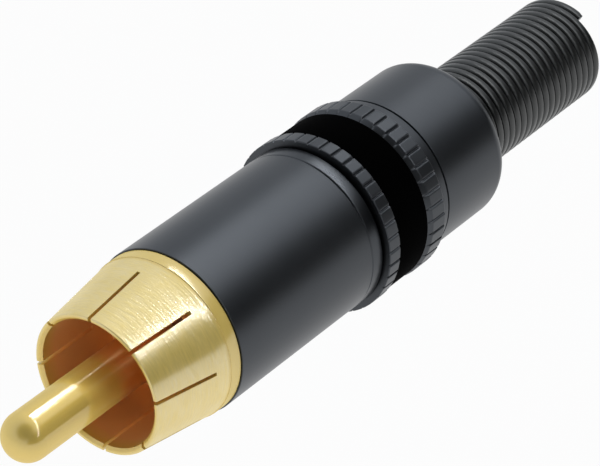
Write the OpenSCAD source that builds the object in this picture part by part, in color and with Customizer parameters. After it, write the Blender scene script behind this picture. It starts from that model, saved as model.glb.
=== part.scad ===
// Phono plug for a cable, with a slotted ground collar, a shell in two halves
// that trap a coding ring, and a close-wound bend-relief spring as its tail.
// The plug lies along X: the pin points to -X and the cable leaves at +X.
// The origin is the centre of the collar's mouth, behind the chamfer of its rim.
// All sizes are in millimetres.

/* [Overall] */
// Length from the pin's nose to the end of the spring
plug_len = 57.73; // [52:0.01:64]

/* [Centre pin] */
// Diameter of the centre pin
pin_d = 3.2; // [3:0.05:3.4]
// Reach of the pin's nose in front of the collar's mouth
pin_reach = 7.9; // [6.5:0.1:9]
// Diameter of the neck held in the insulator
neck_d = 2.2; // [1.8:0.1:2.6]
// Diameter of the staked flange behind the insulator
stake_d = 3.0; // [2.8:0.1:3.6]
// Thickness of the staked flange
stake_t = 0.4; // [0.3:0.05:0.6]
// Diameter of the solder cup
cup_d = 2.6; // [2.4:0.1:3]
// Bore of the solder cup
cup_bore_d = 1.7; // [1.2:0.1:2]
// Length of the solder cup behind its flange
cup_len = 4; // [3:0.1:5]
// Depth of the solder cup's bore
cup_depth = 3.2; // [2.5:0.1:3.5]
// Length of the cup's open upper half
cup_open_len = 2.6; // [1.5:0.1:2.8]

/* [Ground collar] */
// Length of the collar from its mouth to the flange's rear face
collar_len = 6.65; // [6:0.05:8]
// Outside diameter of the collar at its rim
rim_d = 9.84; // [9.5:0.02:10.2]
// Edge break round the outside of the rim
rim_edge = 0.1; // [0.04:0.02:0.16]
// Chamfer of the rim in front of the mouth
mouth_chamfer = 0.18; // [0.1:0.02:0.24]
// Diameter of the mouth that grips a jack
mouth_d = 8.5; // [8.2:0.05:8.8]
// Diameter of the cone where it meets the flange
cone_d = 11.14; // [10.8:0.02:11.2]
// Diameter of the flange
flange_d = 11.22; // [11.2:0.02:11.8]
// Length of the flange
flange_len = 0.9; // [0.7:0.05:1.2]
// Edge break behind the flange
flange_edge = 0.06; // [0.02:0.02:0.12]
// Thickness of the skirt's wall at its root
skirt_wall = 0.85; // [0.7:0.05:1]
// Thickness of the web at the bottom of the collar
web_t = 0.65; // [0.5:0.05:0.9]
// Number of slots in the skirt
slot_count = 8; // [4:2:12]
// Width of a slot
slot_w = 0.24; // [0.2:0.02:0.5]
// Length of a slot from the rim
slot_len = 4.78; // [3.5:0.02:5.2]
// Turn of the first slot from the top of the plug, in degrees
slot_turn = 5; // [0:1:22]

/* [Insulator and lug] */
// Diameter of the insulator's body
insulator_d = 6.6; // [6:0.1:7]
// Length of the insulator
insulator_len = 5; // [4.5:0.1:6]
// Diameter of the insulator's front boss
boss_d = 5.8; // [5:0.1:6]
// Length of the lip that the insulator rests against
lip_len = 0.8; // [0.5:0.05:1.2]
// Radial room of a pressed-in piece
press_clear = 0.02; // [0.01:0.01:0.04]
// Sheet thickness of the ground lug
lug_t = 0.5; // [0.4:0.05:0.6]
// Hole in the lug's base
lug_hole_d = 4.4; // [4:0.1:5]
// Length of the lug's strap, from its base to the cable clamp
strap_len = 5.2; // [4.5:0.1:5.5]
// Width of the strap
strap_w = 2.6; // [2:0.1:3]
// Diameter of the solder hole in the strap
solder_hole_d = 1.1; // [0.8:0.1:1.4]
// Inside diameter of the cable clamp
clamp_d = 5.5; // [4.8:0.1:5.8]
// Length of the cable clamp
clamp_len = 3.4; // [2.5:0.1:3.6]
// Height of the clamp's tabs above the axis
tab_h = 1.6; // [1:0.1:1.8]

/* [Front shell] */
// Outside diameter of both barrels
shell_d = 11.4; // [11.2:0.05:12]
// Wall of the front barrel
shell_wall = 0.95; // [0.8:0.05:1]
// Length of the front barrel
barrel_len = 14.05; // [13:0.05:17]
// Edge break at the ends of the barrel
barrel_edge = 0.06; // [0.04:0.02:0.16]
// Distance of the turned line from the barrel's rear end
line_back = 0.7; // [0.4:0.05:1.2]
// Width of the turned line
line_w = 0.2; // [0.08:0.02:0.24]
// Depth of the turned line
line_depth = 0.09; // [0.04:0.01:0.12]
// Width of the relief groove before the knurl
relief_w = 0.38; // [0.2:0.02:0.6]
// Depth of the relief groove
relief_depth = 0.4; // [0.2:0.05:0.5]
// Width of the front shell's knurl
front_knurl_w = 1.1; // [0.8:0.05:2]

/* [Knurls] */
// Diameter over the knurls
knurl_d = 12.36; // [12.1:0.02:13]
// Number of teeth round a knurl
knurl_teeth = 40; // [30:1:48]
// Width of the groove between two teeth
knurl_groove_w = 0.18; // [0.12:0.02:0.3]
// Depth of the groove between two teeth
knurl_depth = 0.12; // [0.08:0.02:0.14]
// Chamfer at the ends of a knurl
knurl_chamfer = 0.18; // [0.16:0.02:0.24]

/* [Coding ring] */
// Width of the coding ring
ring_w = 3.1; // [2:0.1:4]
// Outside diameter of the coding ring
ring_d = 12.12; // [11.6:0.02:12.3]
// Wall of the coding ring
ring_wall = 0.81; // [0.7:0.01:0.9]
// Radial room between the ring and its seat
ring_clear = 0.05; // [0.02:0.01:0.1]
// Edge break of the ring
ring_edge = 0.08; // [0.04:0.02:0.15]

/* [Rear shell] */
// Wall of the rear barrel over its thread
rear_wall = 0.65; // [0.5:0.05:0.75]
// Length of the rear shell
rear_len = 9.7; // [9.5:0.1:13]
// Length of the rear shell's teeth
rear_knurl_w = 1.8; // [1.2:0.1:2.5]
// Length of the plain land behind the teeth
land_w = 0.75; // [0.4:0.05:1.2]
// Height of the land above the teeth
land_step = 0.02; // [0.01:0.01:0.08]
// Width of the groove behind the land
groove_w = 0.62; // [0.4:0.02:0.8]
// Depth of that groove below the rear barrel
groove_depth = 0.25; // [0.1:0.05:0.3]
// Radius of the rear barrel's rounded end
tail_r = 1.2; // [0.6:0.1:1.6]

/* [Threads] */
// Height of the thread ridges
thread_h = 0.3; // [0.2:0.02:0.36]
// Radial room between a thread's crest and its mating bore
thread_clear = 0.05; // [0.03:0.01:0.1]
// Wall of the collar's spigot round the lug
spigot_wall = 0.6; // [0.5:0.05:0.8]
// Wall of the front shell's rear spigot
rear_spigot_wall = 0.6; // [0.5:0.05:0.7]
// Length of the front shell's rear spigot
rear_spigot_len = 5; // [4:0.1:5.2]
// Gap between the faces of two tightened pieces
face_gap = 0.05; // [0.03:0.01:0.1]

/* [Insulating sleeve] */
// Wall of the sleeve
sleeve_wall = 0.6; // [0.4:0.05:0.7]
// Radial room round the sleeve
sleeve_clear = 0.15; // [0.1:0.01:0.2]
// Room at each end of the sleeve
sleeve_end_gap = 0.2; // [0.1:0.05:0.4]

/* [Bend spring] */
// Outside diameter of the spring's tail
spring_d = 7.5; // [6.8:0.02:7.6]
// Diameter of the wire
wire_d = 0.62; // [0.5:0.01:0.66]
// Pitch of the turns
spring_pitch = 0.69; // [0.68:0.01:0.9]
// Length of the flared turns inside the rear shell
flare_len = 3.2; // [2.5:0.1:3.4]
// Outside diameter of the first flared turn
flare_d = 9.5; // [8.8:0.1:9.6]
// Radial room round the spring in its hole
spring_clear = 0.08; // [0.05:0.01:0.12]
// Angle of the cut wire end round the axis, from +Y towards +Z, in degrees
wire_end_turn = 120; // [0:5:355]

/* [Hidden] */

gold = "#d9c681";
tin = "#c9c7bf";
dark_brown = "#5a3420";
smoke = "#b9c0c2";
satin_black = "#3a3c42";
ring_black = "#0c0c0d";
spring_black = "#26272a";

round_fn = 96;
// Overrun of a cut past the face it opens
cut = 0.5;
// Parts of a turn and sides of the wire in the spring
turn_steps = 18;
wire_sides = 8;

// Stations along the axis
x_nose = pin_d / 2 - pin_reach;
x_rim = -mouth_chamfer;
x_floor = collar_len - web_t;
x_flange = collar_len - flange_len;
x_lip = x_floor + lip_len;
x_lug = x_floor + insulator_len;
x_spigot_end = x_lug + lug_t;
x_cup = x_lug + stake_t;
x_cup_end = x_cup + cup_len;
x_clamp = x_lug + strap_len;
x_shell = collar_len + face_gap;
x_barrel_end = x_shell + barrel_len;
x_line = x_barrel_end - line_back;
x_knurl = x_barrel_end + relief_w;
x_knurl_mid = x_knurl + front_knurl_w / 2;
x_knurl_end = x_knurl + front_knurl_w;
x_rear = x_knurl_end + ring_w + 2 * face_gap;
x_seat_end = x_rear - face_gap;
x_rear_spigot_end = x_seat_end + rear_spigot_len;
x_teeth_end = x_rear + rear_knurl_w;
x_land_end = x_teeth_end + land_w;
x_groove_end = x_land_end + groove_w;
x_tail = x_rear + rear_len;
x_sleeve = x_spigot_end + sleeve_end_gap;
x_step = x_barrel_end + relief_w / 2;
x_spring = x_rear_spigot_end + face_gap + wire_d / 2;
x_flare_end = x_spring + flare_len;
x_spring_end = plug_len - pin_reach - wire_d / 2;

// Radii worked out from the walls and clearances
shell_r = shell_d / 2;
shell_bore_r = shell_r - shell_wall;
spigot_root_r = shell_bore_r - thread_clear - thread_h;
lug_seat_r = spigot_root_r - spigot_wall;
rear_bore_r = shell_r - rear_wall;
rear_root_r = rear_bore_r - thread_clear - thread_h;
rear_spigot_bore_r = rear_root_r - rear_spigot_wall;
ring_bore_r = ring_d / 2 - ring_wall;
ring_seat_r = ring_bore_r - ring_clear;
land_r = knurl_d / 2 + land_step;
spring_r = (spring_d - wire_d) / 2;
flare_r = (flare_d - wire_d) / 2;
tail_hole_r = spring_d / 2 + spring_clear;
flare_seat_r = flare_d / 2 + spring_clear;
clamp_r = clamp_d / 2;

// A plain round bar between two stations
module bar(r, x0, x1) {
    translate([x0, 0, 0])
        rotate([0, 90, 0])
            cylinder(r = r, h = x1 - x0, $fn = round_fn);
}

// Points are [radius, station] pairs, turned about the axis
module turned(points) {
    rotate([0, 90, 0])
        rotate_extrude($fn = round_fn)
            polygon(points);
}

function knurl_outline(r) = [
    for (i = [0 : knurl_teeth - 1])
        let (mid = 360 / knurl_teeth * i, gap = 180 / knurl_teeth)
        let (crest = gap - asin(knurl_groove_w / 2 / r))
        each [
            r * [cos(mid - crest), sin(mid - crest)],
            r * [cos(mid + crest), sin(mid + crest)],
            (r - knurl_depth) * [cos(mid + gap), sin(mid + gap)]
        ]
];

// Straight knurl with flat teeth and chamfered ends
module knurl(x0, x1) {
    r = knurl_d / 2;
    c = knurl_chamfer;
    intersection() {
        translate([x0, 0, 0])
            rotate([0, 90, 0])
                linear_extrude(x1 - x0)
                    polygon(knurl_outline(r));
        turned([
            [0, x0], [r - c, x0], [r + c, x0 + 2 * c],
            [r + c, x1 - 2 * c], [r - c, x1], [0, x1]
        ]);
    }
}

module centre_pin() {
    color(gold)
        difference() {
            union() {
                translate([x_nose, 0, 0])
                    rotate([0, 90, 0])
                        rotate_extrude($fn = round_fn)
                            union() {
                                square([pin_d / 2, x_floor - x_nose]);
                                intersection() {
                                    circle(d = pin_d, $fn = round_fn);
                                    translate([0, -pin_d / 2])
                                        square(pin_d / 2);
                                }
                            }
                bar(neck_d / 2, x_floor - cut, x_cup);
                bar(stake_d / 2, x_lug, x_cup);
                bar(cup_d / 2, x_lug + stake_t / 2, x_cup_end);
            }
            bar(cup_bore_d / 2, x_cup_end - cup_depth, x_cup_end + cut);
            translate([x_cup_end - cup_open_len, -cup_d, 0])
                cube([cup_open_len + cut, 2 * cup_d, cup_d]);
        }
}

module pin_insulator() {
    color(dark_brown)
        difference() {
            turned([
                [0, x_floor], [boss_d / 2 - press_clear, x_floor],
                [boss_d / 2 - press_clear, x_lip], [insulator_d / 2 - press_clear, x_lip],
                [insulator_d / 2 - press_clear, x_lug], [0, x_lug]
            ]);
            bar(neck_d / 2 + press_clear, x_floor - cut, x_lug + cut);
        }
}

module ground_collar() {
    color(gold)
        difference() {
            turned([
                [mouth_d / 2, 0],
                [mouth_d / 2 + mouth_chamfer, x_rim],
                [rim_d / 2 - rim_edge, x_rim],
                [rim_d / 2, x_rim + rim_edge],
                [cone_d / 2, x_flange],
                [flange_d / 2, x_flange],
                [flange_d / 2, collar_len - flange_edge],
                [flange_d / 2 - flange_edge, collar_len],
                [spigot_root_r, collar_len],
                [spigot_root_r, x_spigot_end],
                [lug_seat_r, x_spigot_end],
                [lug_seat_r, x_lug],
                [insulator_d / 2, x_lug],
                [insulator_d / 2, x_lip],
                [boss_d / 2, x_lip],
                [boss_d / 2, x_floor],
                [cone_d / 2 - skirt_wall, x_floor],
                [cone_d / 2 - skirt_wall, x_flange]
            ]);
            for (i = [0 : slot_count / 2 - 1])
                rotate([i * 360 / slot_count - slot_turn, 0, 0])
                    translate([x_rim - cut, -slot_w / 2, -flange_d])
                        cube([slot_len + cut, slot_w, 2 * flange_d]);
        }
}

module ground_lug() {
    color(tin) {
        difference() {
            bar(lug_seat_r - press_clear, x_lug, x_spigot_end);
            bar(lug_hole_d / 2, x_lug - cut, x_spigot_end + cut);
        }
        translate([x_lug, 0, -clamp_r - lug_t])
            difference() {
                translate([0, -strap_w / 2, 0])
                    cube([strap_len + clamp_len, strap_w, lug_t]);
                translate([strap_len / 2, 0, -cut])
                    cylinder(d = solder_hole_d, h = lug_t + 2 * cut, $fn = round_fn);
            }
        difference() {
            bar(clamp_r + lug_t, x_clamp, x_clamp + clamp_len);
            bar(clamp_r, x_clamp - cut, x_clamp + clamp_len + cut);
            translate([x_clamp - cut, -clamp_d, 0])
                cube([clamp_len + 2 * cut, 2 * clamp_d, clamp_d]);
        }
        for (side = [0, 1])
            mirror([0, side, 0])
                translate([x_clamp, clamp_r + lug_t, 0])
                    rotate([90, 0, 0])
                        linear_extrude(lug_t)
                            polygon([
                                [0, -lug_t], [clamp_len, -lug_t], [clamp_len, 0],
                                [clamp_len - lug_t, tab_h], [lug_t, tab_h], [0, 0]
                            ]);
    }
}

module insulating_sleeve() {
    r = shell_bore_r - sleeve_clear;
    color(smoke)
        difference() {
            bar(r, x_sleeve, x_step - sleeve_end_gap);
            bar(r - sleeve_wall, x_sleeve - cut, x_step - sleeve_end_gap + cut);
        }
}

module front_shell() {
    color(satin_black)
        difference() {
            union() {
                turned([
                    [0, x_shell],
                    [shell_r - barrel_edge, x_shell],
                    [shell_r, x_shell + barrel_edge],
                    [shell_r, x_line - line_w / 2],
                    [shell_r - line_depth, x_line],
                    [shell_r, x_line + line_w / 2],
                    [shell_r, x_barrel_end - barrel_edge],
                    [shell_r - barrel_edge, x_barrel_end],
                    [shell_r - relief_depth, x_barrel_end],
                    [shell_r - relief_depth, x_knurl_mid],
                    [ring_seat_r, x_knurl_mid],
                    [ring_seat_r, x_seat_end],
                    [rear_root_r, x_seat_end],
                    [rear_root_r, x_rear_spigot_end - barrel_edge],
                    [rear_root_r - barrel_edge, x_rear_spigot_end],
                    [0, x_rear_spigot_end]
                ]);
                knurl(x_knurl, x_knurl_end);
            }
            bar(shell_bore_r, x_shell - cut, x_step);
            bar(rear_spigot_bore_r, x_step - cut, x_rear_spigot_end + cut);
        }
}

module coding_ring() {
    outer = ring_d / 2;
    x0 = x_knurl_end + face_gap;
    x1 = x0 + ring_w;
    color(ring_black)
        turned([
            [ring_bore_r, x0], [outer - ring_edge, x0], [outer, x0 + ring_edge],
            [outer, x1 - ring_edge], [outer - ring_edge, x1], [ring_bore_r, x1]
        ]);
}

module rear_shell() {
    color(satin_black)
        difference() {
            union() {
                knurl(x_rear, x_teeth_end + knurl_chamfer);
                turned([
                    [0, x_teeth_end - knurl_chamfer],
                    [land_r - 2 * knurl_depth, x_teeth_end - knurl_chamfer],
                    [land_r, x_teeth_end],
                    [land_r, x_land_end - barrel_edge],
                    [land_r - barrel_edge, x_land_end],
                    [shell_r - groove_depth, x_land_end],
                    [shell_r - groove_depth, x_groove_end],
                    [shell_r, x_groove_end],
                    [shell_r, x_tail - tail_r],
                    [0, x_tail - tail_r]
                ]);
                translate([x_tail - tail_r, 0, 0])
                    rotate([0, 90, 0])
                        rotate_extrude($fn = round_fn)
                            union() {
                                square([shell_r - tail_r, tail_r]);
                                translate([shell_r - tail_r, 0])
                                    intersection() {
                                        circle(tail_r, $fn = round_fn);
                                        square(tail_r);
                                    }
                            }
            }
            turned([
                [0, x_rear - cut], [rear_bore_r, x_rear - cut], [rear_bore_r, x_rear_spigot_end],
                [flare_seat_r, x_spring], [tail_hole_r, x_flare_end], [tail_hole_r, x_tail + cut],
                [0, x_tail + cut]
            ]);
        }
}

// One ring of points round the wire, at a share of the spring's length
function wire_ring(share, turns) =
    let (x = x_spring + share * (x_spring_end - x_spring))
    let (turn = wire_end_turn - 360 * turns * (1 - share))
    let (flare = max(0, (x_flare_end - x) / flare_len))
    let (r = spring_r + flare * (flare_r - spring_r))
    let (out = [0, cos(turn), sin(turn)])
    let (rise = atan2(spring_pitch, 2 * PI * r))
    let (along = [cos(rise), sin(rise) * sin(turn), -sin(rise) * cos(turn)])
    [
        for (side = [0 : wire_sides - 1])
            let (a = 360 / wire_sides * side)
            [x, 0, 0] + r * out + wire_d / 2 * (cos(a) * out + sin(a) * along)
    ];

module bend_spring() {
    turns = (x_spring_end - x_spring) / spring_pitch;
    steps = ceil(turns * turn_steps);
    last = steps * wire_sides;
    points = [for (i = [0 : steps]) each wire_ring(i / steps, turns)];
    walls = [
        for (i = [0 : steps - 1], side = [0 : wire_sides - 1])
            let (a = i * wire_sides + side, b = i * wire_sides + (side + 1) % wire_sides)
            each [[a, b, a + wire_sides], [b, b + wire_sides, a + wire_sides]]
    ];
    front = [for (side = [wire_sides - 1 : -1 : 0]) side];
    rear = [for (side = [0 : wire_sides - 1]) last + side];
    color(spring_black)
        polyhedron(points, concat(walls, [front, rear]));
}

centre_pin();
pin_insulator();
ground_collar();
ground_lug();
insulating_sleeve();
front_shell();
coding_ring();
rear_shell();
bend_spring();
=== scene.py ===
import math
import bmesh
import bpy
from mathutils import Matrix, Vector


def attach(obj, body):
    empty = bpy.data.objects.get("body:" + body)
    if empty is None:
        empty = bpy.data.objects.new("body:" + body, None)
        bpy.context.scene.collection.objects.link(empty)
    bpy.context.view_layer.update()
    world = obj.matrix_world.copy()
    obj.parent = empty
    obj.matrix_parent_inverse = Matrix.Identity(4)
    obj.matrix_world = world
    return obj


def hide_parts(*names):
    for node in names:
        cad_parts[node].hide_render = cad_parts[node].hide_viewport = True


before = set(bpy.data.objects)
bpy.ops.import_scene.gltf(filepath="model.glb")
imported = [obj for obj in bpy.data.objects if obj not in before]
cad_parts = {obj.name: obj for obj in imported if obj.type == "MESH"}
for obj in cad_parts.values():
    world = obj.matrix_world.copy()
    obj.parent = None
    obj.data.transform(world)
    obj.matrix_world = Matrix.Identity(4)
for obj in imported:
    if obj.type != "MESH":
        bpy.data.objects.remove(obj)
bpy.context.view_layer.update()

mm = 0.001
print("frame loaded:", sorted(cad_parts))


# shader sockets as Python values
class Wire:
    def __init__(self, finish, socket):
        self.finish = finish
        self.socket = socket

    def math(self, operation, first, second):
        return self.finish.node("ShaderNodeMath", {"operation": operation}, {0: first, 1: second})

    def __add__(self, other):
        return self.math("ADD", self, other)

    def __radd__(self, other):
        return self.math("ADD", other, self)

    def __sub__(self, other):
        return self.math("SUBTRACT", self, other)

    def __rsub__(self, other):
        return self.math("SUBTRACT", other, self)

    def __mul__(self, other):
        return self.math("MULTIPLY", self, other)

    def __rmul__(self, other):
        return self.math("MULTIPLY", other, self)

    def __pow__(self, other):
        return self.math("POWER", self, other)

    def __rpow__(self, other):
        return self.math("POWER", other, self)


# one node tree, of a material or of the world
class Finish:
    def __init__(self, name, owner=None):
        self.owner = owner or bpy.data.materials.new(name)
        self.owner.use_nodes = True
        self.tree = self.owner.node_tree
        self.shader = self.tree.nodes.get("Principled BSDF")

    def node(self, kind, settings, sockets, output=0):
        made = self.tree.nodes.new(kind)
        for key, value in settings.items():
            if key == "stops":  # a ramp's two stops, as (place, colour)
                for stop, (place, colour) in zip(made.color_ramp.elements, value):
                    stop.position, stop.color = place, colour
            else:
                setattr(made, key, value)
        for key, value in sockets.items():
            self.feed(made.inputs[key], value)
        return Wire(self, made.outputs[output])

    def feed(self, socket, value):
        if isinstance(value, Wire):
            self.tree.links.new(value.socket, socket)
        else:
            socket.default_value = value

    def mix(self, share, low, high):  # two colours
        return self.node("ShaderNodeMix", {"data_type": "RGBA"}, {0: share, 6: low, 7: high}, 2)

    def noise(self, place, scale, detail=2.0):
        return self.node("ShaderNodeTexNoise", {}, {"Vector": place, "Scale": scale, "Detail": detail})

    def noiseAlong(self, place, scale):  # varies along one value only
        return self.node("ShaderNodeTexNoise", {"noise_dimensions": "1D"},
                         {"W": place, "Scale": scale, "Detail": 2.0})

    def ramp(self, value, *stops):
        return self.node("ShaderNodeValToRGB", {"stops": [(p, (v, v, v, 1)) for p, v in stops]}, {0: value})

    def rise(self, value):  # the value kept between 0 and 1
        return self.ramp(value, (0, 0), (1, 1))

    def bump(self, height, strength, distance):
        return self.node("ShaderNodeBump", {}, {"Height": height, "Strength": strength, "Distance": distance})

    def place(self):  # place on the plug, in metres
        return self.node("ShaderNodeTexCoord", {}, {}, "Object")

    def axes(self, point):  # its X, Y and Z as values
        split = self.node("ShaderNodeSeparateXYZ", {}, {"Vector": point}).socket.node
        return [Wire(self, split.outputs[i]) for i in range(3)]

    def shade(self, values):
        for key, value in values.items():
            self.feed(self.shader.inputs[key], value)
        return self.owner

    def cover(self, share, other):  # a share of another shader over the main one
        plain = Wire(self, self.shader.outputs[0])
        both = self.node("ShaderNodeMixShader", {}, {0: share, 1: plain, 2: other})
        self.feed(self.tree.nodes["Material Output"].inputs["Surface"], both)


# gold plating over turned brass: a bright lobe, a satin lobe, and the lathe's marks round the collar, with
# painted shade in the collar's bore
goldLook = {
    # the two bore colours are painted shade: deeper orange-brown golds for the collar's bore and the pin within
    # it
    "bright": (0.98, 0.94, 0.84, 1), "pinBright": (0.97, 0.91, 0.73, 1), "inside": (0.92, 0.61, 0.31, 1),
    "satin": (0.85, 0.69, 0.25, 1), "deepSatin": (0.80, 0.63, 0.18, 1), "pinSatin": (0.81, 0.61, 0.155, 1),
    "insideSatin": (0.915, 0.58, 0.26, 1), "patchScale": 420.0, "cloud": (0.35, 0.65),
    "roughness": 0.13, "pinPolish": 0.04, "markRoughness": 0.10,
    "satinRoughness": 0.57, "patchRoughness": 0.1, "flangeRoughness": 0.15,
    "boreRoughness": 0.2, "borePinPolish": 0.4,
    "satinShare": 0.78, "pinShare": 0.88, "markShare": 0.3, "flangeShare": 0.11,
    "markScale": (6500, 1100, 1100), "markHeight": 0.000020, "markStrength": 0.6, "detail": 3.0,
    "leastMarks": 0.08, "flangeMarks": 0.15,
    # edges in metres, each with its sharpness
    "wall": (0.0046, 0.1, 6000), "boreFront": 900, "boreBack": (0.0066, 5000),
    "pinEdge": (0.0025, 2000), "coneEnd": (0.0057, 5000),
}


def goldPlate():
    look = goldLook
    finish = Finish("goldPlate")
    point = finish.place()
    x, y, z = finish.axes(point)
    r = (y * y + z * z) ** 0.5  # distance from the axis
    stretched = finish.node("ShaderNodeVectorMath", {"operation": "MULTIPLY"}, {0: point, 1: look["markScale"]})
    marks = finish.noise(stretched, 1.0, look["detail"])  # short marks round the axis
    patch = finish.noise(point, look["patchScale"], look["detail"])
    low, high = look["cloud"]
    cloud = finish.ramp(patch, (low, 0), (high, 1))
    # the collar's wall by its middle: outside it the marks show; inside it, from the mouth back to the bore's
    # floor, the colour is painted shade, a deeper orange-brown gold on the bore's wall and on the pin there
    middle, taper, sharp = look["wall"]
    depth = (middle + taper * x - r) * sharp
    back, sharp = look["boreBack"]
    inside = finish.rise(depth) * (finish.rise(x * look["boreFront"]) * finish.rise((back - x) * sharp))
    marked = look["leastMarks"] + (1 - look["leastMarks"]) * finish.rise(0 - depth)
    edge, sharp = look["pinEdge"]
    onPin = finish.rise((edge - r) * sharp)
    edge, sharp = look["coneEnd"]
    onCone = finish.ramp((edge - x) * sharp, (0, look["flangeMarks"]), (1, 1))  # the flange behind is smoother
    onFlange = 1 - onCone
    relief = finish.bump(marks * marked * onCone, look["markStrength"], look["markHeight"])
    # in the bore the base and satin colours are painted shade, a deeper orange-brown gold
    finish.shade({
        "Base Color": finish.mix(inside, finish.mix(marked, look["pinBright"], look["bright"]), look["inside"]),
        "Metallic": 1.0,
        "Roughness": look["roughness"] - look["pinPolish"] * onPin + look["markRoughness"] * marks * marked,
        "Normal": relief,
    })
    soft = finish.mix(marked, look["pinSatin"], finish.mix(cloud, look["deepSatin"], look["satin"]))
    boreDull = inside * (look["boreRoughness"] - look["borePinPolish"] * onPin)
    dull = boreDull + look["flangeRoughness"] * onFlange * marked
    satin = finish.node("ShaderNodeBsdfPrincipled", {}, {
        "Base Color": finish.mix(inside, soft, look["insideSatin"]), "Metallic": 1.0,
        "Roughness": look["satinRoughness"] + look["patchRoughness"] * patch + dull, "Normal": relief})
    share = look["satinShare"] + look["markShare"] * (marks - 0.5) * onCone + look["flangeShare"] * onFlange
    finish.cover(look["pinShare"] + (share - look["pinShare"]) * marked, satin)
    return finish.owner


# satin black coating over turned metal; rubbed is a smoother stretch, as (from, to, drop in roughness)
coatGrain = {
    "grainScale": 14000.0, "cloudScale": 260.0, "cloudDetail": 3.0, "markScale": 7.0, "shares": (0.5, 0.3, 0.2),
    "heights": (0.7, 0.3), "strength": 0.25, "rubbedSharp": 20000,
}
satinLook = {
    "dark": (0.061, 0.066, 0.073, 1), "light": (0.075, 0.080, 0.087, 1), "roughness": 0.37, "grain": 0.10,
    "grainHeight": 0.0000010, "rubbed": (0.02003, 0.02095, 0.08),  # the shoulder before the front knurl
}
springLook = {
    "dark": (0.060, 0.062, 0.062, 1), "light": (0.073, 0.075, 0.075, 1), "roughness": 0.34, "grain": 0.08,
    "grainHeight": 0.0000004, "rubbed": (0.0495, 0.0500, 0.05),  # the wire's cut end
}


def satinBlack(name, look):
    finish = Finish(name)
    point = finish.place()
    x, y, z = finish.axes(point)
    r = (y * y + z * z) ** 0.5  # distance from the axis
    grain = finish.noise(point, coatGrain["grainScale"])
    cloud = finish.noise(point, coatGrain["cloudScale"], coatGrain["cloudDetail"])
    marks = finish.noiseAlong((x + r) * (1 / mm), coatGrain["markScale"])
    start, end, drop = look["rubbed"]
    sharp = coatGrain["rubbedSharp"]
    rubbed = finish.rise((x - start) * sharp) * finish.rise((end - x) * sharp)
    byCloud, byGrain, byMarks = coatGrain["shares"]
    grained = look["grain"] * (byCloud * cloud + byGrain * grain + byMarks * marks - 0.5)
    grainHigh, marksHigh = coatGrain["heights"]
    return finish.shade({
        "Base Color": finish.mix(cloud, look["dark"], look["light"]),
        "Metallic": 1.0,
        "Roughness": look["roughness"] + grained - drop * rubbed,
        "Normal": finish.bump(grain * grainHigh + marks * marksHigh, coatGrain["strength"], look["grainHeight"]),
    })


# plain black plastic of the ring
ringLook = {
    "dark": (0.0003, 0.0003, 0.0003, 1), "light": (0.0006, 0.0006, 0.0006, 1), "roughness": 0.85, "grain": 0.12,
    "specular": 0.01, "grainScale": 9000.0, "cloudScale": 300.0, "strength": 0.3, "grainHeight": 0.0000012,
}


def plainBlack():
    look = ringLook
    finish = Finish("plainBlack")
    point = finish.place()
    grain = finish.noise(point, look["grainScale"])
    cloud = finish.noise(point, look["cloudScale"])
    return finish.shade({
        "Base Color": finish.mix(cloud, look["dark"], look["light"]),
        "Roughness": look["roughness"] + look["grain"] * (grain - 0.5),
        "Specular IOR Level": look["specular"],
        "Normal": finish.bump(grain, look["strength"], look["grainHeight"]),
    })


# moulded plastic of the insulator, coloured dark brown as painted shade for its face deep in the collar's shadow
brownLook = {
    "dark": (0.09, 0.032, 0.013, 1), "light": (0.12, 0.045, 0.02, 1), "roughness": 0.38, "grain": 0.14,
    "cloudScale": 500.0, "cloudDetail": 3.0, "grainScale": 6000.0, "strength": 0.2, "grainHeight": 0.000002,
}


def paintedShadeBrown():
    look = brownLook
    finish = Finish("paintedShadeBrown")
    point = finish.place()
    cloud = finish.noise(point, look["cloudScale"], look["cloudDetail"])
    grain = finish.noise(point, look["grainScale"])
    return finish.shade({
        "Base Color": finish.mix(cloud, look["dark"], look["light"]),
        "Roughness": look["roughness"] + look["grain"] * grain,
        "Normal": finish.bump(grain, look["strength"], look["grainHeight"]),
    })


# tinned sheet of the lug
tinLook = {
    "dull": (0.60, 0.59, 0.57, 1), "bright": (0.76, 0.75, 0.72, 1), "roughness": 0.26, "flow": 0.22,
    "flowScale": 900.0, "flowDetail": 4.0, "scratchScale": 5200.0,
    "heights": (0.7, 0.3), "strength": 0.25, "flowHeight": 0.000006,
}


def tinnedSheet():
    look = tinLook
    finish = Finish("tinnedSheet")
    point = finish.place()
    flow = finish.noise(point, look["flowScale"], look["flowDetail"])
    scratch = finish.noise(point, look["scratchScale"])
    flowHigh, scratchHigh = look["heights"]
    return finish.shade({
        "Base Color": finish.mix(flow, look["dull"], look["bright"]),
        "Metallic": 1.0,
        "Roughness": look["roughness"] + look["flow"] * flow,
        "Normal": finish.bump(flow * flowHigh + scratch * scratchHigh, look["strength"], look["flowHeight"]),
    })


# pale grey tube inside the shell
tubeLook = {
    "shade": (0.62, 0.66, 0.68, 1), "light": (0.70, 0.73, 0.74, 1), "roughness": 0.22, "cloud": 0.1,
    "streakScale": 1.4, "cloudScale": 350.0, "strength": 0.1, "streakHeight": 0.000003,
}


def tubePlastic():
    look = tubeLook
    finish = Finish("tubePlastic")
    point = finish.place()
    x = finish.axes(point)[0]
    streak = finish.noiseAlong(x * (1 / mm), look["streakScale"])
    cloud = finish.noise(point, look["cloudScale"])
    return finish.shade({
        "Base Color": finish.mix(0.5 * streak + 0.5 * cloud, look["shade"], look["light"]),
        "Roughness": look["roughness"] + look["cloud"] * cloud,
        "Normal": finish.bump(streak, look["strength"], look["streakHeight"]),
    })


gold = goldPlate()
shellBlack = satinBlack("shellBlack", satinLook)
springBlack = satinBlack("springBlack", springLook)
ringBlack = plainBlack()
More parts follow.
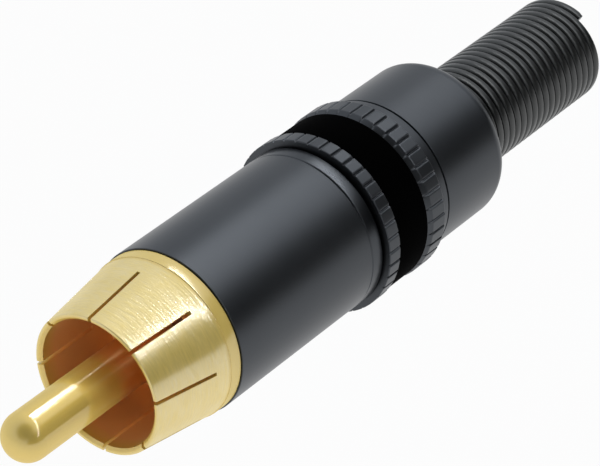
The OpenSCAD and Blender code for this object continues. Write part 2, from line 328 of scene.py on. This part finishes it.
# the insulator's dark brown is painted shade
brown = paintedShadeBrown()
tinned = tinnedSheet()
tube = tubePlastic()
print("finishes made:", len(bpy.data.materials))


# mesh tools, all in millimetres, with angles from the top towards +Y
meshLook = {"smallTurn": 128, "largeTurn": 240, "easeLimit": 0.48, "weld": 1e-8, "crease": 38}


def spot(x, r, angle):
    return Vector((x, r * math.sin(angle), r * math.cos(angle))) * mm


def eased(corners, steps=4):  # corners are (x, r, ease), and each ease becomes a short curve
    limit = meshLook["easeLimit"]  # share of a side that one curve may take
    points = []
    for i, (x, r, ease) in enumerate(corners):
        here = Vector((x, r))
        if ease == 0:
            points.append(here)
            continue
        back = Vector(corners[i - 1][:2]) - here
        ahead = Vector(corners[(i + 1) % len(corners)][:2]) - here
        start = here + back.normalized() * min(ease, back.length * limit)
        end = here + ahead.normalized() * min(ease, ahead.length * limit)
        for k in range(steps + 1):
            t = k / steps
            points.append(start * (1 - t) ** 2 + here * (2 * t * (1 - t)) + end * t ** 2)
    return points


def arc(x, r, radius, fromDegrees, toDegrees, steps):  # from the rear towards the outside
    turns = [math.radians(fromDegrees + (toDegrees - fromDegrees) * k / steps) for k in range(steps + 1)]
    return [(x + radius * math.cos(t), r + radius * math.sin(t), 0) for t in turns]


def evenTurn(count):
    return [math.tau * i / count for i in range(count)]


smallTurn, largeTurn = evenTurn(meshLook["smallTurn"]), evenTurn(meshLook["largeTurn"])


def bridge(mesh, a, b, first=0):  # faces between two rings of points
    for j in range(first, len(a)):
        k = (j + 1) % len(a)
        mesh.faces.new((a[j], a[k], b[k], b[j]))


def joinRings(mesh, rows):  # a tube through rings of points, closed at both ends
    for a, b in zip(rows, rows[1:]):
        bridge(mesh, a, b)
    mesh.faces.new(rows[0])
    mesh.faces.new(rows[-1])


def turn(mesh, outline, angles, radiusAt=None, whole=True):
    rows = []
    for angle in angles:
        rows.append([mesh.verts.new(spot(x, radiusAt(r, angle) if radiusAt else r, angle)) for x, r in outline])
    if not whole:
        joinRings(mesh, rows)
        return
    for a, b in zip(rows, rows[1:] + rows[:1]):
        bridge(mesh, a, b)


# thread ridges, which fade out at both ends
thread = {
    "pitch": 0.75, "height": 0.30, "base": 0.52, "crest": 0.12, "sink": 0.03,
    "steps": 96, "fade": 0.4, "least": 0.04,
}


def windThread(mesh, root, side, start, end, phase):  # side is 1 for an outside thread and -1 for an inside one
    t = thread
    foot, crest = root - side * t["sink"], root + side * t["height"]
    section = [(-t["base"] / 2, foot), (-t["crest"] / 2, crest), (t["crest"] / 2, crest), (t["base"] / 2, foot)]
    count = math.ceil((end - start) / t["pitch"] * t["steps"])
    fade = t["pitch"] * t["fade"]
    rows = []
    for i in range(count + 1):
        x = start + (end - start) * i / count
        angle = phase - math.tau * (x / t["pitch"])
        near = max(min(1.0, (x - start) / fade, (end - x) / fade), t["least"])
        rows.append([mesh.verts.new(spot(x + dx, root + (r - root) * near, angle)) for dx, r in section])
    joinRings(mesh, rows)


def makePiece(name, mesh, body, material, node):
    bmesh.ops.remove_doubles(mesh, verts=mesh.verts, dist=meshLook["weld"])
    bmesh.ops.recalc_face_normals(mesh, faces=mesh.faces)
    data = bpy.data.meshes.new(name)
    mesh.to_mesh(data)
    mesh.free()
    data.polygons.foreach_set("use_smooth", [True] * len(data.polygons))
    data.set_sharp_from_angle(angle=math.radians(meshLook["crease"]))
    data.materials.append(material)
    piece = bpy.data.objects.new(name, data)
    bpy.context.scene.collection.objects.link(piece)
    even = piece.modifiers.new("evenNormals", "WEIGHTED_NORMAL")
    even.keep_sharp = True
    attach(piece, body)
    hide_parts(node)
    print(name, len(data.polygons), "faces")
    return piece


# centre pin, with its neck, staked flange and solder cup
pinSize = {
    "radius": 1.6, "nose": -6.3, "noseSteps": 24, "tip": 0.0005, "floor": 6.0, "neck": 1.1, "lug": 11.0,
    "stake": 1.5, "stakeEnd": 11.4, "cup": 1.3, "bore": 0.85, "boreStart": 12.2, "open": 12.8, "end": 15.4,
    "troughSteps": 40,
}


def centrePin():
    s = pinSize
    mesh = bmesh.new()
    quarter = [math.pi / 2 * k / s["noseSteps"] for k in range(s["noseSteps"] + 1)]
    nose = [(s["nose"] - s["radius"] * math.cos(t), max(s["radius"] * math.sin(t), s["tip"]), 0)
            for t in quarter]
    outline = eased(nose + [
        (s["floor"], s["radius"], 0.06), (s["floor"], s["neck"], 0), (s["lug"], s["neck"], 0),
        (s["lug"], s["stake"], 0.04), (s["stakeEnd"], s["stake"], 0.12), (s["stakeEnd"], s["cup"], 0),
        (s["open"], s["cup"], 0), (s["open"], s["bore"], 0), (s["boreStart"], s["bore"], 0.05),
        (s["boreStart"], s["tip"], 0)])
    turn(mesh, outline, smallTurn)
    trough = eased([
        (s["open"], s["bore"], 0), (s["open"], s["cup"], 0),
        (s["end"], s["cup"], 0.08), (s["end"], s["bore"], 0.04)])
    half = [math.pi / 2 + math.pi * k / s["troughSteps"] for k in range(s["troughSteps"] + 1)]
    turn(mesh, trough, half, whole=False)
    return makePiece("pinBody", mesh, "contact_insert", gold, "centre_pin")


# insulator that holds the pin
insulatorSize = {"front": 6.0, "boss": 2.88, "step": 6.8, "radius": 3.28, "rear": 11.0, "bore": 1.12}


def pinInsulator():
    s = insulatorSize
    mesh = bmesh.new()
    turn(mesh, eased([
        (s["front"], s["bore"], 0.04), (s["front"], s["boss"], 0.06), (s["step"], s["boss"], 0.03),
        (s["step"], s["radius"], 0.05), (s["rear"], s["radius"], 0.08), (s["rear"], s["bore"], 0.04)]), smallTurn)
    # its dark brown colour is painted shade
    return makePiece("insulatorBody", mesh, "contact_insert", brown, "pin_insulator")


# slotted ground collar: eight fingers in front, a flange and a threaded spigot behind
collarSize = {
    "mouth": 4.37, "rimFace": -0.18, "rimInner": 4.56, "rim": 4.79, "rimEdge": 0.05, "cone": 5.57,
    "flangeStart": 5.75, "flange": 5.61, "rear": 6.65, "flangeEase": 0.06, "spigot": 4.40, "spigotEnd": 11.5,
    "lugSeat": 3.80, "lugFace": 11.0, "insulator": 3.30, "lip": 6.8, "boss": 2.90, "floor": 6.0, "root": 4.42,
    "slots": 8, "slotWidth": 0.24, "slotEnd": 4.6, "slotTurn": 5.0, "columns": 26,
    "slotEase": 0.012, "slotEaseSteps": 2, "slotEaseProfile": 0.6, "slotEdge": 0.6,
    "lean": (-1.2, 0, 0, 0, 0, 0, 4.6, 2.2),  # degrees at the rim, as the sprung fingers stand
    "threadStart": 0.45, "threadStop": 0.3,
}


def groundCollar():
    s = collarSize
    edgeEnd = s["rimFace"] + s["rimEdge"]
    outerAt = s["rim"] + (s["cone"] - s["rim"]) * (s["slotEnd"] - edgeEnd) / (s["flangeStart"] - edgeEnd)
    innerAt = s["mouth"] + (s["root"] - s["mouth"]) * s["slotEnd"] / s["flangeStart"]
    # fingers, from the slot's end on the outside round the rim and its chamfer to the slot's end inside
    fingers = eased([
        (s["slotEnd"], outerAt, 0), (edgeEnd, s["rim"], 0.03), (s["rimFace"], s["rim"] - s["rimEdge"], 0.03),
        (s["rimFace"], s["rimInner"], 0.04), (0, s["mouth"], 0.04), (s["slotEnd"], innerAt, 0)])
    behind = eased([
        (s["slotEnd"], innerAt, 0), (s["flangeStart"], s["root"], 0.05), (s["floor"], s["root"], 0.05),
        (s["floor"], s["boss"], 0), (s["lip"], s["boss"], 0), (s["lip"], s["insulator"], 0),
        (s["lugFace"], s["insulator"], 0), (s["lugFace"], s["lugSeat"], 0), (s["spigotEnd"], s["lugSeat"], 0.04),
        (s["spigotEnd"], s["spigot"], 0.10), (s["rear"], s["spigot"], 0.04),
        (s["rear"], s["flange"], s["flangeEase"]), (s["flangeStart"], s["flange"], 0.02),
        (s["flangeStart"], s["cone"], 0.015), (s["slotEnd"], outerAt, 0)])
    outline = fingers + behind[1:-1]
    front = len(fingers)
    mesh = bmesh.new()
    rows, gaps = [], []
    for slot in range(s["slots"]):
        start = math.radians(s["slotTurn"]) + math.tau * slot / s["slots"]
        leans = [math.radians(s["lean"][(slot + k) % s["slots"]]) for k in (0, 1)]
        for c in range(s["columns"] + 1):
            row = []
            for x, r in outline:
                half = math.asin(s["slotWidth"] / 2 / r)
                forward = max(0, (s["slotEnd"] - x) / (s["slotEnd"] - s["rimFace"]))
                low = start + leans[0] * forward + half
                high = start + math.tau / s["slots"] + leans[1] * forward - half
                row.append(mesh.verts.new(spot(x, r, low + (high - low) * c / s["columns"])))
            rows.append(row)
        gaps.append(len(rows) - 1)  # the column after which a slot follows
    for i, a in enumerate(rows):
        b = rows[(i + 1) % len(rows)]
        bridge(mesh, a, b, front - 1 if i in gaps else 0)
        if i in gaps:  # both walls of the slot and its end
            mesh.faces.new(a[:front])
            mesh.faces.new(b[:front])
            mesh.faces.new((a[0], b[0], b[front - 1], a[front - 1]))
    bmesh.ops.recalc_face_normals(mesh, faces=mesh.faces)
    mesh.verts.index_update()
    walls = {v.index for i in gaps for v in rows[i][:front] + rows[(i + 1) % len(rows)][:front]}
    edges = [e for e in mesh.edges if e.verts[0].index in walls and e.verts[1].index in walls
             and e.calc_face_angle(0) > s["slotEdge"] and e.is_convex]
    bmesh.ops.bevel(mesh, geom=edges, offset=s["slotEase"] * mm, segments=s["slotEaseSteps"],
                    profile=s["slotEaseProfile"], affect="EDGES")
    windThread(mesh, s["spigot"], 1, s["rear"] + s["threadStart"], s["spigotEnd"] - s["threadStop"], 0.0)
    return makePiece("collarBody", mesh, "contact_insert", gold, "ground_collar")


# tube that keeps the joints off the shell
sleeveSize = {"start": 11.7, "end": 20.74, "outer": 4.6, "inner": 4.0, "ease": 0.05}


def insulatingSleeve():
    s = sleeveSize
    mesh = bmesh.new()
    corners = [("start", "inner"), ("start", "outer"), ("end", "outer"), ("end", "inner")]
    turn(mesh, eased([(s[x], s[r], s["ease"]) for x, r in corners]), smallTurn)
    return makePiece("sleeveTube", mesh, "sleeve", tube, "insulating_sleeve")


# knurled bands: nearly flat teeth with thin shallow grooves between them
knurlSize = {
    "teeth": 40, "radius": 6.18, "grooveWidth": 0.25, "depth": 0.13, "chamfer": 0.05, "flatness": 0.5,
    "grooveSteps": 5, "crestSteps": (0.45, 0.8), "sunk": 0.1,
}


def toothAngles():
    s = knurlSize
    pitch = math.tau / s["teeth"]
    crest = 1 - s["grooveWidth"] / s["radius"] / pitch
    near, far = s["crestSteps"]
    groove = [crest + (1 - crest) * k / s["grooveSteps"] for k in range(1, s["grooveSteps"])]
    side = [near, far * crest, crest] + groove
    shares = [-1] + [-share for share in reversed(side)] + [0] + side
    return [pitch * (i + share / 2) for i in range(s["teeth"]) for share in shares]


def knurl(mesh, outline):
    s = knurlSize
    pitch = math.tau / s["teeth"]
    half = s["grooveWidth"] / 2 / s["radius"]

    def toothRadius(r, angle):
        if r < s["radius"] - 2 * s["depth"]:
            return r
        off = abs((angle + pitch / 2) % pitch - pitch / 2)
        across = min((pitch / 2 - off) / half, 1)
        deep = s["depth"] * (1 - across * across) ** 2
        flat = s["flatness"] * s["radius"] * (1 - math.cos(pitch / 2) / math.cos(off))
        return min(r, s["radius"] - deep - flat)

    turn(mesh, outline, toothAngles(), toothRadius)


# front half of the shell
frontSize = {
    "start": 6.70, "bore": 4.75, "radius": 5.70, "ease": 0.05, "line": 19.93, "lineHalf": 0.10,
    "lineDepth": 0.12, "flareStart": 5.66, "flareEnd": 5.72, "barrelEnd": 20.90, "relief": 5.30,
    "knurl": 21.13, "knurlMid": 21.68, "knurlEnd": 22.23, "seat": 5.20, "seatEnd": 25.38,
    "spigot": 4.70, "end": 30.38, "spigotBore": 4.10, "step": 20.94,
    "spigotThread": (0.4, 0.35), "boreThread": (0.3, 4.3),
}


def frontShell():
    s = frontSize
    mesh = bmesh.new()
    turn(mesh, eased([
        (s["start"], s["bore"], 0.06), (s["start"], s["radius"], s["ease"]),
        (s["line"] - s["lineHalf"], s["radius"], 0.02), (s["line"], s["radius"] - s["lineDepth"], 0.02),
        (s["line"] + s["lineHalf"], s["flareStart"], 0.02), (s["barrelEnd"], s["flareEnd"], s["ease"]),
        (s["barrelEnd"], s["relief"], 0.02), (s["knurlMid"], s["relief"], 0), (s["knurlMid"], s["seat"], 0),
        (s["seatEnd"], s["seat"], 0.05), (s["seatEnd"], s["spigot"], 0), (s["end"], s["spigot"], 0.12),
        (s["end"], s["spigotBore"], 0.06), (s["step"], s["spigotBore"], 0.04), (s["step"], s["bore"], 0.04)]),
        largeTurn)
    top, cut, inner = knurlSize["radius"], knurlSize["chamfer"], s["seat"] - knurlSize["sunk"]
    knurl(mesh, eased([
        (s["knurl"], inner, 0), (s["knurl"], top - cut, 0.03), (s["knurl"] + cut, top, 0.03),
        (s["knurlEnd"] - cut, top, 0.03), (s["knurlEnd"], top - cut, 0.03), (s["knurlEnd"], inner, 0)], steps=3))
    first, last = s["spigotThread"]
    windThread(mesh, s["spigot"], 1, s["seatEnd"] + first, s["end"] - last, 0.0)
    first, last = s["boreThread"]
    windThread(mesh, s["bore"], -1, s["start"] + first, s["start"] + last, math.pi)
    return makePiece("frontShellBody", mesh, "front_half", shellBlack, "front_shell")


# coding ring held between the two halves
ringSize = {"start": 22.28, "end": 25.38, "outer": 6.06, "inner": 5.25, "ease": 0.09, "innerEase": 0.04}


def codingRing():
    s = ringSize
    mesh = bmesh.new()
    turn(mesh, eased([
        (s["start"], s["inner"], s["innerEase"]), (s["start"], s["outer"], s["ease"]),
        (s["end"], s["outer"], s["ease"]), (s["end"], s["inner"], s["innerEase"])]), largeTurn)
    return makePiece("codingRingBody", mesh, "ring", ringBlack, "coding_ring")


# rear half of the shell
rearSize = {
    "start": 25.43, "lip": 5.95, "teethStart": 25.80, "teethEnd": 27.10, "runOut": 27.38, "runOutLean": 0.02,
    "overlap": 0.1, "bore": 5.05,
    "land": 5.73, "landEnd": 28.10, "groove": 5.57, "grooveEnd": 28.29, "grooveWall": 0.03, "radius": 5.70,
    "tail": 35.13, "tailRound": 1.2, "tailSteps": 18, "hole": 3.83, "flareEnd": 33.94, "flareStart": 30.74,
    "flareSeat": 4.83, "boreEnd": 30.38, "boreThread": (0.3, 0.4),
}


def rearShell():
    s = rearSize
    mesh = bmesh.new()
    front, wall = s["runOut"] - s["overlap"], s["grooveWall"]
    tail = arc(s["tail"] - s["tailRound"], s["radius"] - s["tailRound"], s["tailRound"], 90, 0, s["tailSteps"])
    turn(mesh, eased([
        (front, s["bore"], 0), (front, s["land"], 0), (s["landEnd"], s["land"], 0.02),
        (s["landEnd"] + wall, s["groove"], 0.01), (s["grooveEnd"] - wall, s["groove"], 0.01),
        (s["grooveEnd"], s["radius"], 0.02)] + tail + [
        (s["tail"], s["hole"], 0.06), (s["flareEnd"], s["hole"], 0.05), (s["flareStart"], s["flareSeat"], 0.05),
        (s["boreEnd"], s["bore"], 0.05)]), largeTurn)
    top = knurlSize["radius"]
    knurl(mesh, eased([
        (s["start"], s["bore"], 0), (s["start"], s["lip"], 0.03), (s["teethStart"], top, 0.08),
        (s["teethEnd"], top, 0.06), (s["runOut"], s["land"], 0.04),
        (s["runOut"] + s["runOutLean"], s["bore"], 0)]))
    first, last = s["boreThread"]
    windThread(mesh, s["bore"], -1, s["start"] + first, s["boreEnd"] - last, math.pi)
    return makePiece("rearShellBody", mesh, "rear_half", shellBlack, "rear_shell")


# close-wound bend spring, flared inside the rear shell, with its end's turn from +Y towards +Z
springSize = {
    "start": 30.74, "end": 49.52, "pitch": 0.69, "wire": 0.31, "radius": 3.44,
    "flareEnd": 33.94, "flareLength": 3.2, "flareRadius": 4.44,
    "endTurn": 120.0, "endEase": 0.05, "steps": 64, "sides": 28, "crown": 0.52,
}


def bendSpring():
    s = springSize
    mesh = bmesh.new()
    turns = (s["end"] - s["start"]) / s["pitch"]
    count = math.ceil(turns * s["steps"])

    def wireRing(share, shrink=0.0):
        x = s["start"] + share * (s["end"] - s["start"])
        angle = math.radians(s["endTurn"]) - math.tau * turns * (1 - share)
        r = s["radius"] + max(0, (s["flareEnd"] - x) / s["flareLength"]) * (s["flareRadius"] - s["radius"])
        out = Vector((0, math.cos(angle), math.sin(angle)))
        rise = math.atan2(s["pitch"], math.tau * r)
        across = Vector((math.cos(rise), math.sin(rise) * math.sin(angle), -math.sin(rise) * math.cos(angle)))
        middle = Vector((x, 0, 0)) + out * r
        wire = s["wire"] - shrink
        ring = []
        for side in range(s["sides"]):  # the section's crown is a little flat
            a = math.tau * side / s["sides"]
            u, v = (math.copysign(abs(w) ** s["crown"], w) for w in (math.cos(a), math.sin(a)))
            ring.append(mesh.verts.new((middle + (out * u + across * v) * wire) * mm))
        return ring

    rings = [wireRing(0, s["endEase"])]
    rings += [wireRing(i / count) for i in range(1, count)]
    rings += [wireRing(1, s["endEase"])]
    joinRings(mesh, rings)
    return makePiece("springCoil", mesh, "rear_half", springBlack, "bend_spring")


pieces = [centrePin(), pinInsulator(), groundCollar(), insulatingSleeve(),
          frontShell(), codingRing(), rearShell(), bendSpring()]

# the sheet lug keeps its own mesh
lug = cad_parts["ground_lug"]
lug.data.materials.clear()
lug.data.materials.append(tinned)
print("pieces made:", len(pieces))


# pale floor well below the plug, white to the camera and still taking its shadow
stageLook = {
    "floorDrop": 0.045, "floorSize": 1.5, "floor": (0.90, 0.90, 0.90, 1), "shade": (0.88, 0.88, 0.88, 1),
    "grainScale": 90.0, "grainDetail": 3.0, "roughness": 0.9, "specular": 0.1, "whiteShare": 0.93,
    "middle": 0.02, "floorSides": 96,
}


def paleFloor():
    look = stageLook
    finish = Finish("paleFloor")
    point = finish.place()
    grain = finish.noise(point, look["grainScale"], look["grainDetail"])
    finish.shade({
        "Base Color": finish.mix(grain, look["shade"], look["floor"]),
        "Roughness": look["roughness"],
        "Specular IOR Level": look["specular"],
    })
    rays = finish.node("ShaderNodeLightPath", {}, {}).socket.node
    kinds = ("Is Camera Ray", "Is Glossy Ray", "Is Transmission Ray")
    seen = sum(Wire(finish, rays.outputs[kind]) for kind in kinds)
    glow = finish.node("ShaderNodeEmission", {}, {"Color": (1, 1, 1, 1), "Strength": 1.0})
    finish.cover(seen * look["whiteShare"], glow)
    mesh = bmesh.new()
    bmesh.ops.create_circle(mesh, cap_ends=True, segments=look["floorSides"], radius=look["floorSize"])
    data = bpy.data.meshes.new("paleFloor")
    mesh.to_mesh(data)
    mesh.free()
    data.materials.append(finish.owner)
    floor = bpy.data.objects.new("paleFloor", data)
    floor.location = (look["middle"], 0, -look["floorDrop"])
    bpy.context.scene.collection.objects.link(floor)


paleFloor()

# one long thin bar, with its azimuth from +X towards +Y and its shift along itself
keyBar = {
    "azimuth": -10.6, "elevation": 57.6, "distance": 1.0, "shift": -0.85, "width": 2.7, "height": 0.012,
    "brightness": 61.0,
}


def lampBar(name, bar):
    lamp = bpy.data.lights.new(name, "AREA")
    lamp.shape, lamp.size, lamp.size_y = "RECTANGLE", bar["width"], bar["height"]
    lamp.energy = bar["brightness"] * math.pi * bar["width"] * bar["height"]
    box = bpy.data.objects.new(name, lamp)
    a, e = math.radians(bar["azimuth"]), math.radians(bar["elevation"])
    away = Vector((math.cos(a) * math.cos(e), math.sin(a) * math.cos(e), math.sin(e)))
    along = Vector((-math.sin(a), math.cos(a), 0))
    box.location = Vector((stageLook["middle"], 0, 0)) + away * bar["distance"] + along * bar["shift"]
    box.rotation_mode = "QUATERNION"
    box.rotation_quaternion = (-away).to_track_quat("-Z", "Y")
    box.visible_camera = False
    bpy.context.scene.collection.objects.link(box)


lampBar("keyBar", keyBar)

# white tent round the plug, with dark gaps at the right, in front and round the camera
worldLook = {
    "tent": (0.79, 0.82, 0.86, 1),
    "gaps": [  # direction, where the gap starts and is full, colour
        ((0.66, -0.745, -0.08), 0.63, 0.78, (0.004, 0.005, 0.005, 1)),
        ((-0.15, -0.98, 0.05), 0.70, 0.86, (0.010, 0.011, 0.011, 1)),
        ((-0.50, -0.30, 0.81), 0.68, 0.93, (0.06, 0.06, 0.06, 1)),
    ],
}


def tentWorld():
    world = bpy.data.worlds.new("tent")
    bpy.context.scene.world = world
    finish = Finish("tent", world)
    way = finish.node("ShaderNodeTexCoord", {}, {}, "Generated")
    tent = worldLook["tent"]
    for toward, low, high, colour in worldLook["gaps"]:
        facing = finish.node("ShaderNodeVectorMath", {"operation": "DOT_PRODUCT"},
                             {0: way, 1: Vector(toward).normalized()}, "Value")
        share = finish.node("ShaderNodeMapRange", {"interpolation_type": "SMOOTHSTEP"},
                            {"Value": facing, "From Min": low, "From Max": high})
        tent = finish.mix(share, tent, colour)
    finish.feed(finish.tree.nodes["Background"].inputs["Color"], tent)


tentWorld()
print("stage and lamps made")

# the photograph's viewpoint, in degrees and millimetres, with its azimuth from -Y towards +X
viewpoint = {
    "azimuth": -52.537, "elevation": 34.003, "aim": (25.314, 4.243, -4.442), "distance": 200.0, "lens": 180.0,
    "sensor": 36.0, "clip": (0.01, 10.0),
}


def photoCamera():
    v = viewpoint
    a, e = math.radians(v["azimuth"]), math.radians(v["elevation"])
    back = Vector((math.sin(a) * math.cos(e), -math.cos(a) * math.cos(e), math.sin(e)))
    right = Vector((math.cos(a), math.sin(a), 0))
    up = back.cross(right)
    data = bpy.data.cameras.new("photoCamera")
    data.sensor_fit, data.sensor_width, data.lens = "HORIZONTAL", v["sensor"], v["lens"]
    data.clip_start, data.clip_end = v["clip"]
    camera = bpy.data.objects.new("photoCamera", data)
    camera.matrix_world = Matrix((right, up, back)).transposed().to_4x4()
    camera.location = (Vector(v["aim"]) + back * v["distance"]) * mm
    bpy.context.scene.collection.objects.link(camera)
    bpy.context.scene.camera = camera


photoCamera()
bpy.context.scene.view_settings.view_transform = "Standard"
